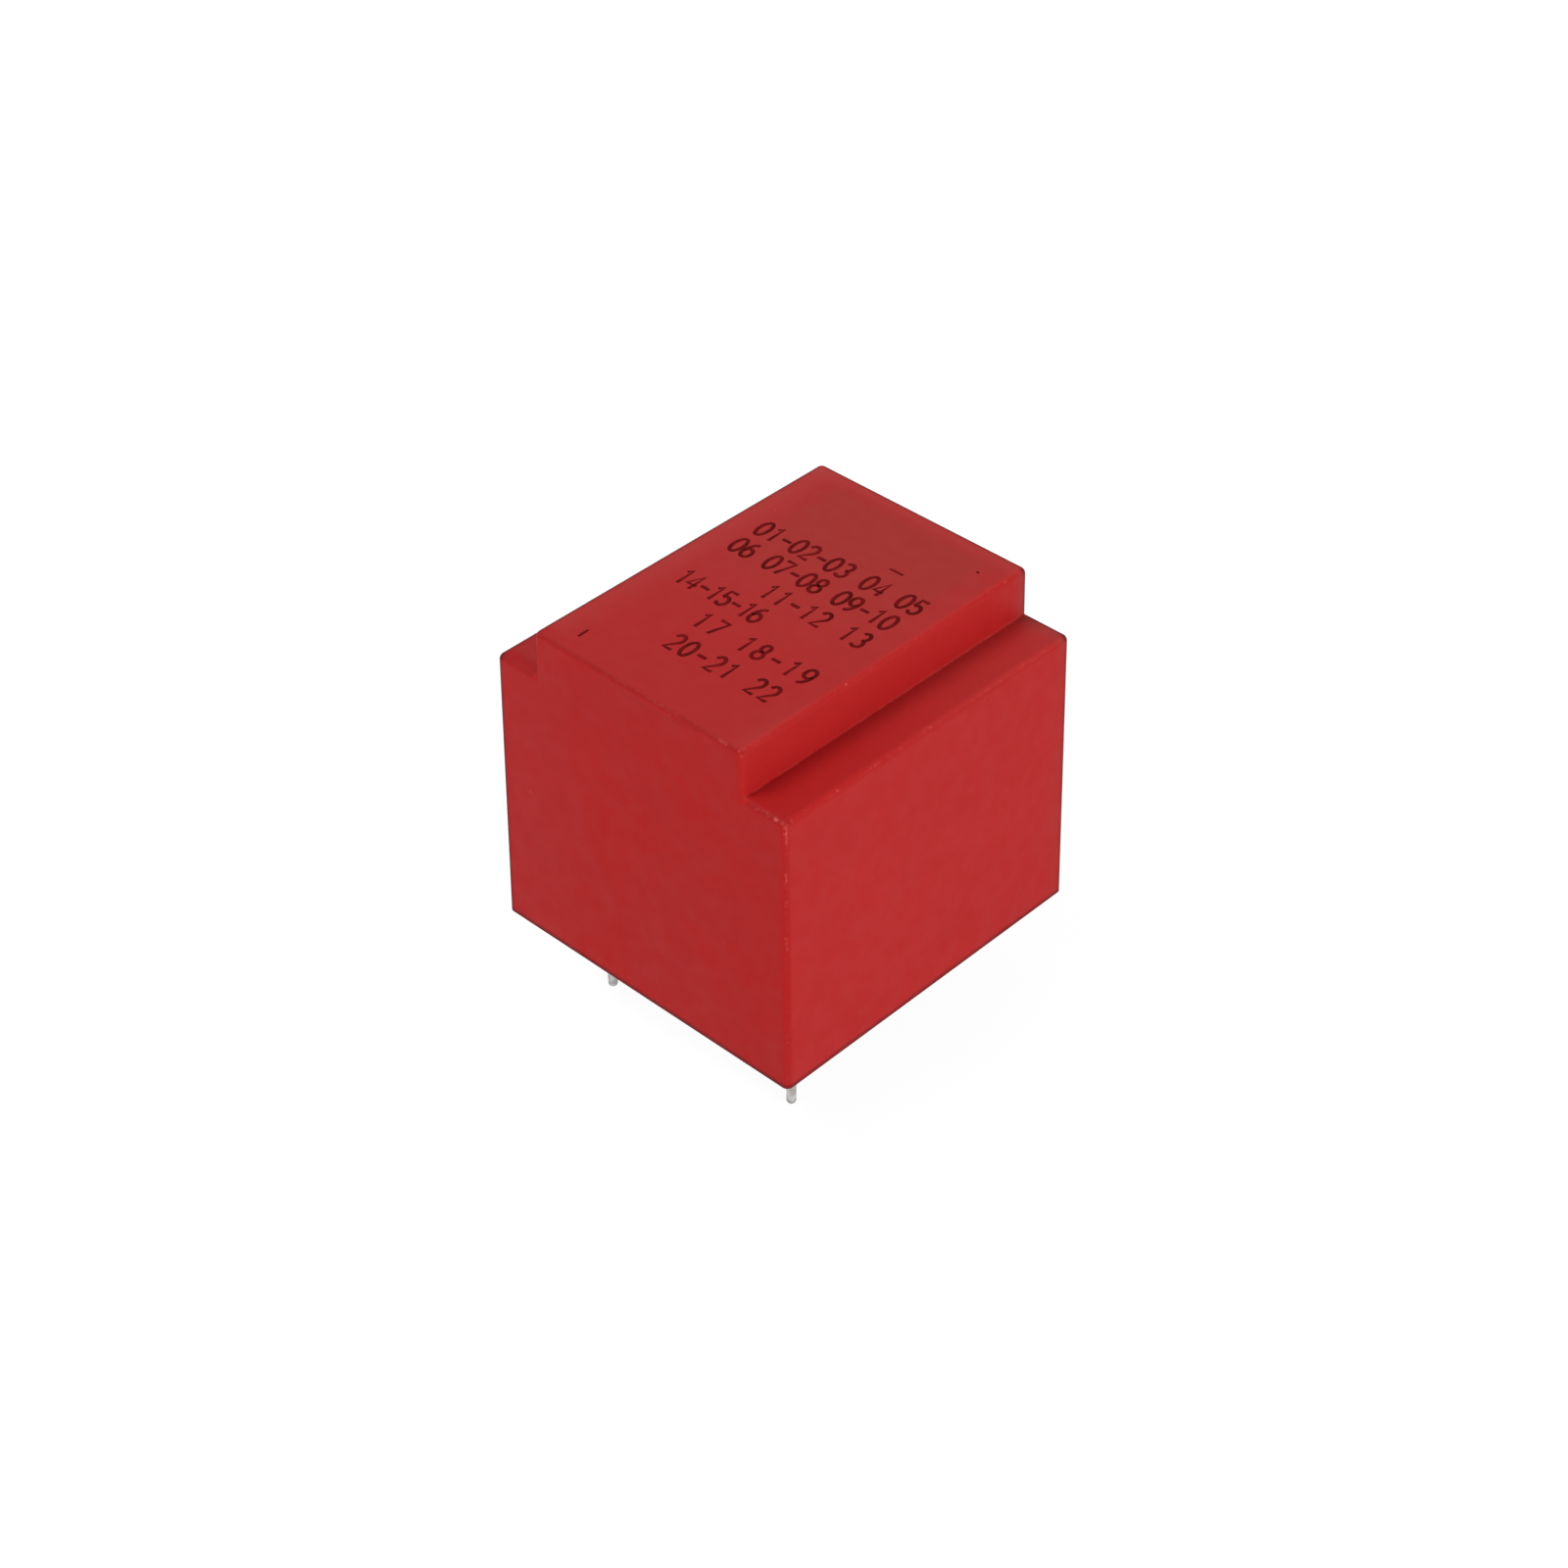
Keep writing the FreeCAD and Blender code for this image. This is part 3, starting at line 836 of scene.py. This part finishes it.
@dataclass(frozen=True)
class MouldedRed(Finish):
    """Matt red moulded plastic with a fine grain: worn and dusty, with painted shade, sheen and
    highlight.
    """

    name: str = "red_moulding"
    colour: tuple = srgb(173, 28.5, 29.5)
    patch: tuple = srgb(165, 27, 28)
    patch_size: float = 5 * MM
    patch_contrast: float = 0.3
    patch_share: float = 0.6
    mottle: Mottle = Mottle(0.5 * MM, 0.25, 0.75, 0.0, 0.6)
    rough: tuple = (0.53, 0.65)
    rough_size: float = 1.1 * MM
    rough_span: tuple = (0.25, 0.75)
    relief: float = 0.005 * MM
    grain_size: float = 0.34 * MM
    gloss: float = 0.12
    # The near end's deeper red, a painted shade under the patches, and where it shows
    deep: tuple = srgb(172, 14, 13)
    near_end: Fade = Fade(Way.ALONG, 0.35 * MM, 0.6 * MM, 1.0, 0.0)
    near_right: Fade = Fade(Way.ACROSS, -10 * MM, -3 * MM, 0.1)
    form: CaseForm = CaseForm()
    # What lies on the plain colour, from the lowest layer up
    layers: tuple = (TopDustAndSheen(), DullField(), FarEndShade(), NearEndShade(), Dust(), EdgeWearAndHighlight(), OuterEdgeShade())

    def base_colour(self, graph: Graph, effects: Effects) -> Socket:
        """The patched red with its layers.

        Args:
            graph: The material's graph.
            effects: The shared node groups.

        Returns:
            The colour's socket.
        """
        spots = graph.math("ADD", self.patches(graph, effects), self.mottle.value(graph))
        shade = graph.math("MULTIPLY", spots, self.patch_share, clamp=True)
        # Painted shade: the near end face takes the deeper red
        near_end = graph.product(self.near_right.value(graph),
                                 self.near_end.value(graph, -self.form.half_depth))
        colour = graph.mix(shade, graph.mix(near_end, self.colour, self.deep), self.patch)
        skin = Skin(graph, effects, self.form)
        for layer in self.layers:
            colour = graph.mix(layer.mask(skin), colour, layer.colour)
        return colour

    def unevenness(self, graph: Graph, effects: Effects) -> Socket:
        """What the roughness follows: a noise of its own."""
        return graph.noise(self.rough_size, detail=3.0)


@dataclass(frozen=True)
class PrintInk(Finish):
    """Dark red printing ink, uneven where it took badly."""

    name: str = "print_ink"
    colour: tuple = srgb(90, 10, 10)
    patch: tuple = srgb(112, 17, 17)
    patch_size: float = 1.1 * MM
    patch_contrast: float = 0.12
    rough: tuple = (0.5, 0.7)
    rough_by: Driver = Driver.RELIEF
    rough_span: tuple = (0.4, 1.2)
    relief: float = 0.003 * MM
    grain_size: float = 0.2 * MM
    gloss: float = 0.03


@dataclass(frozen=True)
class TinnedWire(Finish):
    """Dipped tin: soft grey metal with a slight relief and dull patches."""

    name: str = "tinned_pin"
    colour: tuple = srgb(198, 196, 194)
    patch: tuple = srgb(146, 143, 141)
    patch_size: float = 0.7 * MM
    patch_contrast: float = 0.2
    rough: tuple = (0.3, 0.44)
    relief: float = 0.006 * MM
    grain_size: float = 0.25 * MM
    metal: float = 1.0


@dataclass(frozen=True)
class CastResin(Finish):
    """Dark casting resin: satin, with slow waves and a few small pits."""

    name: str = "cast_resin"
    colour: tuple = srgb(44, 42, 43)
    patch: tuple = srgb(62, 59, 58)
    patch_size: float = 4 * MM
    patch_contrast: float = 0.25
    rough: tuple = (0.26, 0.4)
    relief: float = 0.2 * MM
    wave_size: float = 3.5 * MM
    pit_spacing: float = 1.6 * MM
    pit_radius: float = 0.16 * MM
    pit_chance: float = 0.22
    pit_depth: float = 0.3

    def height(self, graph: Graph, effects: Effects) -> Socket:
        """The relief: waves, less the pits."""
        pits = graph.use(effects.specks, Spacing=self.pit_spacing, Radius=self.pit_radius,
                         Share=self.pit_chance)
        dents = graph.product(pits, self.pit_depth)
        return graph.math("SUBTRACT", graph.noise(self.wave_size), dents)


@dataclass(frozen=True)
class MouldedFormer(Finish):
    """Pale glass-filled moulding of the coil former."""

    name: str = "former_moulding"
    colour: tuple = srgb(222, 216, 200)
    patch: tuple = srgb(204, 197, 180)
    patch_size: float = 2 * MM
    patch_contrast: float = 0.25
    rough: tuple = (0.42, 0.58)
    rough_by: Driver = Driver.RELIEF
    rough_span: tuple = (0.4, 1.2)
    relief: float = 0.008 * MM


@dataclass(frozen=True)
class EnamelledWire(Finish):
    """Windings of enamelled copper wire: fine turns side by side along the coil's axis."""

    name: str = "enamelled_wire"
    colour: tuple = srgb(196, 104, 52)
    # Painted shade in the gaps between the turns
    patch: tuple = srgb(96, 40, 20)
    gap_shade: float = 0.9
    patch_size: float = 1.5 * MM
    patch_contrast: float = 0.3
    rough: tuple = (0.28, 0.4)
    relief: float = 0.03 * MM
    metal: float = 0.6
    turn_pitch: float = 0.12 * MM

    def height(self, graph: Graph, effects: Effects) -> Socket:
        """The relief: the turns, each one a round ridge."""
        angle = graph.product(graph.place()[Way.ALONG.value], math.pi / self.turn_pitch)
        return graph.math("ABSOLUTE", graph.math("SINE", angle))

    def base_colour(self, graph: Graph, effects: Effects) -> Socket:
        """The colour: the second one lies as painted shade in the gaps between the turns."""
        gaps = graph.math("SUBTRACT", 1.0, self.height(graph, effects))
        return graph.mix(graph.product(gaps, self.gap_shade), self.colour, self.patch)


@dataclass(frozen=True)
class FilmTape(Finish):
    """Thin yellow insulating film, with faint creases."""

    name: str = "film_tape"
    colour: tuple = srgb(226, 188, 68)
    patch: tuple = srgb(206, 160, 44)
    patch_size: float = 3 * MM
    patch_contrast: float = 0.2
    rough: tuple = (0.18, 0.3)
    relief: float = 0.03 * MM
    crease_size: float = 1.2 * MM

    def height(self, graph: Graph, effects: Effects) -> Socket:
        """The relief: faint creases."""
        return graph.noise(self.crease_size, detail=3.0)


@dataclass(frozen=True)
class RolledSteel(Finish):
    """Core steel with a grey oxide coat and fine rolling lines along its legs."""

    name: str = "core_steel"
    colour: tuple = srgb(134, 138, 146)
    patch: tuple = srgb(92, 98, 110)
    patch_size: float = 2.5 * MM
    patch_contrast: float = 0.25
    rough: tuple = (0.3, 0.46)
    rough_by: Driver = Driver.RELIEF
    rough_span: tuple = (0.3, 0.7)
    relief: float = 0.004 * MM
    metal: float = 0.85
    # The rolling lines' width, and how much slower they change along their way
    line_width: float = 0.12 * MM
    line_stretch: float = 0.06

    def height(self, graph: Graph, effects: Effects) -> Socket:
        """The relief: rolling lines."""
        point = graph.add("ShaderNodeTexCoord").outputs["Object"]
        stretch = {"Vector": point, "Scale": (1.0, self.line_stretch, 1.0)}
        drawn = graph.add("ShaderNodeMapping", stretch).outputs[0]
        noise = {"Vector": drawn, "Scale": 1 / self.line_width}
        return graph.add("ShaderNodeTexNoise", noise).outputs["Fac"]


def dress(frame: dict, slot: Slot, material: bpy.types.Material) -> None:
    """Give a material to the frame's nodes that use one of the record's slots.

    Args:
        frame: The loaded frame.
        slot: The slot.
        material: The material.
    """
    for part in frame["record"]["subparts"]:
        if part["material_slot"] == slot.value:
            slots = frame["nodes"][part["node"]].data.materials
            slots.clear()
            slots.append(material)
            log.info("dressed %s", part["node"])


@dataclass
class Arc:
    """A stroke of a figure: part of an ellipse, in a box one unit wide and one unit high."""

    x: float
    y: float
    across: float
    high: float
    start: float
    end: float
    tail: tuple = ()
    step: float = 18.0

    def points(self) -> list[tuple[float, float]]:
        """The points along the arc, and then those of its straight tail."""
        count = max(2, round(abs(self.end - self.start) / self.step))
        turns = [self.start + (self.end - self.start) * i / count for i in range(count + 1)]
        curve = [(self.x + self.across * math.cos(math.radians(turn)),
                  self.y + self.high * math.sin(math.radians(turn))) for turn in turns]
        return curve + list(self.tail)


@dataclass
class Run:
    """A stroke of a figure: straight lines between a few corners."""

    corners: tuple

    def points(self) -> list[tuple[float, float]]:
        """The corners."""
        return list(self.corners)


FIGURES = {
    "0": [Arc(0.5, 0.5, 0.44, 0.5, 90, 450)],
    "1": [Run(((0.22, 0.8), (0.56, 1.0), (0.56, 0.0)))],
    "2": [Arc(0.5, 0.71, 0.4, 0.29, 165, -38, tail=((0.08, 0.0), (0.94, 0.0)))],
    "3": [Arc(0.46, 0.75, 0.36, 0.25, 150, -80), Arc(0.46, 0.26, 0.42, 0.26, 85, -150)],
    "4": [Run(((0.7, 0.0), (0.7, 1.0), (0.06, 0.3), (0.96, 0.3)))],
    "5": [Run(((0.88, 1.0), (0.2, 1.0), (0.13, 0.54))), Arc(0.48, 0.31, 0.42, 0.31, 140, -150)],
    "6": [Arc(0.5, 0.3, 0.42, 0.3, 0, 360), Arc(0.74, 0.34, 0.66, 0.66, 175, 92)],
    "7": [Run(((0.06, 1.0), (0.94, 1.0), (0.34, 0.0)))],
    "8": [Arc(0.5, 0.76, 0.34, 0.24, 0, 360), Arc(0.5, 0.26, 0.43, 0.26, 0, 360)],
    "9": [Arc(0.5, 0.7, 0.42, 0.3, 0, 360), Arc(0.26, 0.66, 0.66, 0.66, -5, -88)],
    "-": [Run(((0.1, 0.47), (0.94, 0.47)))],
}


@dataclass
class TopPrint:
    """Six lines of plain counting numbers on the case's top, as thin strokes of ink."""

    figure_height: float = 1.42 * MM
    figure_width: float = 0.74 * MM
    stroke: float = 0.25 * MM
    ink_height: float = 0.012 * MM
    turn: float = math.radians(1.0)
    # Each line's figures, and its left end, right end and foot on the top
    lines: tuple = (
        ("01-02-03 04 05", -5.85 * MM, 6.5 * MM, 3.62 * MM),
        ("06 07-08 09-10", -5.85 * MM, 6.25 * MM, 1.47 * MM),
        ("11-12 13", -1.4 * MM, 6.25 * MM, -0.76 * MM),
        ("14-15-16", -5.95 * MM, 0.4 * MM, -2.86 * MM),
        ("17 18-19", -2.3 * MM, 6.25 * MM, -5.24 * MM),
        ("20-21 22", -2.0 * MM, 5.8 * MM, -7.68 * MM),
    )
    # Stray thin marks, two dashes and a dot, and how thick they are beside the figures
    mark_share: float = 0.7
    marks: tuple = (
        ((2.5 * MM, 6.15 * MM), (3.5 * MM, 6.16 * MM)),
        ((-5.98 * MM, -10.2 * MM), (-5.99 * MM, -9.4 * MM)),
        ((6.3 * MM, 9.2 * MM), (6.5 * MM, 9.2 * MM)),
    )

    def strokes(self) -> list[list[tuple[float, float]]]:
        """The print's strokes on the top face, in metres.

        Returns:
            A list of points for each stroke.
        """
        found = []
        for text, left, right, foot in self.lines:
            pitch = (right - left - self.figure_width) / (len(text) - 1)
            for place, figure in enumerate(text):
                for stroke in FIGURES.get(figure, []):
                    found.append([(left + place * pitch + x * self.figure_width,
                                   foot + y * self.figure_height) for x, y in stroke.points()])
        return found

    def build(self, top: float, material: bpy.types.Material) -> bpy.types.Object:
        """Make the print.

        Args:
            top: The height of the case's top.
            material: The ink.

        Returns:
            The print, as one mesh.
        """
        curve = bpy.data.curves.new("print_strokes", "CURVE")
        curve.dimensions = "3D"
        curve.bevel_depth = self.stroke / 2
        curve.bevel_resolution = 1
        curve.use_fill_caps = True
        strokes = [(points, 1.0) for points in self.strokes()]
        strokes += [(mark, self.mark_share) for mark in self.marks]
        for points, share in strokes:
            spline = curve.splines.new("POLY")
            closed = len(points) > 2 and math.dist(points[0], points[-1]) < 0.01 * self.stroke
            kept = points[:-1] if closed else points
            spline.points.add(len(kept) - 1)
            spline.use_cyclic_u = closed
            for point, (x, y) in zip(spline.points, kept):
                point.co = (x, y, 0.0, 1.0)
                point.radius = share
        holder = bpy.data.objects.new("print_strokes", curve)
        mesh = bpy.data.meshes.new_from_object(holder)
        bpy.data.objects.remove(holder)
        flat = Matrix.Diagonal((1.0, 1.0, 2 * self.ink_height / self.stroke, 1.0))
        turned = Matrix.Translation((0, 0, top)) @ Matrix.Rotation(self.turn, 4, "Z")
        mesh.transform(turned @ flat)
        mesh.materials.clear()
        mesh.materials.append(material)
        piece = bpy.data.objects.new("top_print", mesh)
        bpy.context.scene.collection.objects.link(piece)
        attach(piece, ROOT)
        log.info("built top_print with %d faces", len(mesh.polygons))
        return piece


@dataclass
class Case:
    """The moulded case and its print."""

    node: str = "case"

    def build(self, frame: dict, effects: Effects) -> None:
        """Dress the case and print its top.

        Args:
            frame: The loaded frame.
            effects: The shared node groups.
        """
        low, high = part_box(self.node)
        log.info("case box %s to %s", low, high)
        red = MouldedRed(form=CaseForm(half_width=high.x, half_depth=high.y, top=high.z))
        dress(frame, Slot.CASE, red.material(effects))
        TopPrint().build(high.z, PrintInk().material(effects))


@dataclass
class Mount:
    """What shows below the rim: the resin's face and the pins."""

    resin: Finish = CastResin()
    pins: Finish = TinnedWire()

    def build(self, frame: dict, effects: Effects) -> None:
        """Dress the resin and the pins."""
        dress(frame, Slot.RESIN, self.resin.material(effects))
        dress(frame, Slot.PIN, self.pins.material(effects))


@dataclass
class Inside:
    """What the resin holds: former, windings, tapes and core."""

    former: Finish = MouldedFormer()
    wire: Finish = EnamelledWire()
    tape: Finish = FilmTape()
    steel: Finish = RolledSteel()

    def build(self, frame: dict, effects: Effects) -> None:
        """Dress the sealed pieces.

        Args:
            frame: The loaded frame.
            effects: The shared node groups.
        """
        dress(frame, Slot.FORMER, self.former.material(effects))
        dress(frame, Slot.WIRE, self.wire.material(effects))
        dress(frame, Slot.TAPE, self.tape.material(effects))
        dress(frame, Slot.STEEL, self.steel.material(effects))


@dataclass
class Lamp:
    """A soft square lamp that looks at the object."""

    name: str
    place: tuple
    size: float
    power: float

    def build(self, target: Vector) -> None:
        """Add the lamp, turned towards a point."""
        light = bpy.data.lights.new(self.name, "AREA")
        light.shape = "SQUARE"
        light.size = self.size
        light.energy = self.power
        holder = bpy.data.objects.new(self.name, light)
        holder.location = self.place
        holder.rotation_euler = (target - holder.location).to_track_quat("-Z", "Y").to_euler()
        bpy.context.scene.collection.objects.link(holder)


@dataclass
class Studio:
    """A pale floor, soft lamps, a white surround and the camera."""

    azimuth: float = math.radians(43.891)
    elevation: float = math.radians(38.556)
    roll: float = math.radians(-0.499)
    distance: float = 194.972 * MM
    aim_height: float = 8.799 * MM
    aim_side: float = -0.07 * MM
    lens: float = 76.83
    sensor: float = 36.0
    nearest: float = 10 * MM
    floor_radius: float = 0.6
    floor_corners: int = 96
    floor_paint: tuple = srgb(236, 236, 236)
    floor_light: float = 1.15
    floor_glow: float = 0.8
    surround: float = 0.35
    lamps: tuple = (
        Lamp("side_lamp", (0.57, -0.12, 0.15), 0.3, 2.32),
        Lamp("high_lamp", (-0.15, -0.235, 0.51), 0.25, 1.69),
        Lamp("front_lamp", (-0.14, -0.46, 0.14), 0.3, 0.22),
    )

    def build(self) -> None:
        """Set up everything round the object."""
        scene = bpy.context.scene
        scene.view_settings.view_transform = "Standard"
        low, high = (Vector(corner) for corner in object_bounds())
        self.build_world(scene)
        self.build_floor(low.z)
        for lamp in self.lamps:
            lamp.build(Vector((0, 0, (low.z + high.z) / 2)))
        scene.camera = self.build_camera()

    @staticmethod
    def seen_ray(graph: Graph) -> Socket:
        """A mask for rays that the camera sees directly, in a gloss or through glass."""
        path = graph.add("ShaderNodeLightPath").outputs
        return graph.most(path["Is Camera Ray"], path["Is Glossy Ray"],
                          path["Is Transmission Ray"])

    def build_world(self, scene: bpy.types.Scene) -> None:
        """Light the scene evenly, and show white where nothing stands."""
        world = bpy.data.worlds.new("white_surround")
        world.use_nodes = True
        world.node_tree.nodes.clear()
        graph = Graph(world.node_tree)
        strength = graph.ramp(self.seen_ray(graph), 0.0, 1.0, self.surround, 1.0)
        light = graph.add("ShaderNodeBackground", {"Color": WHITE, "Strength": strength})
        graph.add("ShaderNodeOutputWorld", {"Surface": light.outputs[0]})
        scene.world = world

    def build_floor(self, level: float) -> None:
        """Lay a round pale floor under the pins; the camera sees it as almost white.

        Args:
            level: The floor's height.
        """
        turns = [math.tau * i / self.floor_corners for i in range(self.floor_corners)]
        ring = [(self.floor_radius * math.cos(turn), self.floor_radius * math.sin(turn), level)
                for turn in turns]
        mesh = bpy.data.meshes.new("floor")
        mesh.from_pydata(ring, [], [tuple(range(self.floor_corners))])
        material = bpy.data.materials.new("pale_floor")
        material.use_nodes = True
        material.node_tree.nodes.clear()
        graph = Graph(material.node_tree)
        paint = graph.add("ShaderNodeBsdfDiffuse", {"Color": self.floor_paint})
        light = {"Color": WHITE, "Strength": self.floor_light}
        glow = graph.add("ShaderNodeEmission", light)
        share = graph.product(self.seen_ray(graph), self.floor_glow)
        both = {0: share, 1: paint.outputs[0], 2: glow.outputs[0]}
        shown = graph.add("ShaderNodeMixShader", both)
        graph.add("ShaderNodeOutputMaterial", {"Surface": shown.outputs[0]})
        mesh.materials.append(material)
        floor = bpy.data.objects.new("floor", mesh)
        bpy.context.scene.collection.objects.link(floor)
        floor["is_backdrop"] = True

    def build_camera(self) -> bpy.types.Object:
        """Make the camera at the photograph's angle.

        Returns:
            The camera.
        """
        level = math.cos(self.elevation)
        back = Vector((math.sin(self.azimuth) * level, -math.cos(self.azimuth) * level,
                       math.sin(self.elevation)))
        level_right = Vector((math.cos(self.azimuth), math.sin(self.azimuth), 0))
        aim = level_right * self.aim_side + Vector((0, 0, self.aim_height))
        right = Matrix.Rotation(self.roll, 3, back) @ level_right
        turn = Matrix((right, back.cross(right), back)).transposed()
        data = bpy.data.cameras.new("camera")
        data.lens = self.lens
        data.sensor_width = self.sensor
        data.clip_start = self.nearest
        camera = bpy.data.objects.new("camera", data)
        camera.matrix_world = Matrix.Translation(aim + back * self.distance) @ turn.to_4x4()
        bpy.context.scene.collection.objects.link(camera)
        return camera


def main() -> None:
    """Build the looks round the frame, one sub-assembly after the other."""
    logging.basicConfig(level=logging.INFO, format="%(name)s: %(message)s")
    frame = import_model()
    effects = Effects()
    for part in (Case(), Mount(), Inside()):
        part.build(frame, effects)
    Studio().build()


if __name__ == "__main__":
    main()
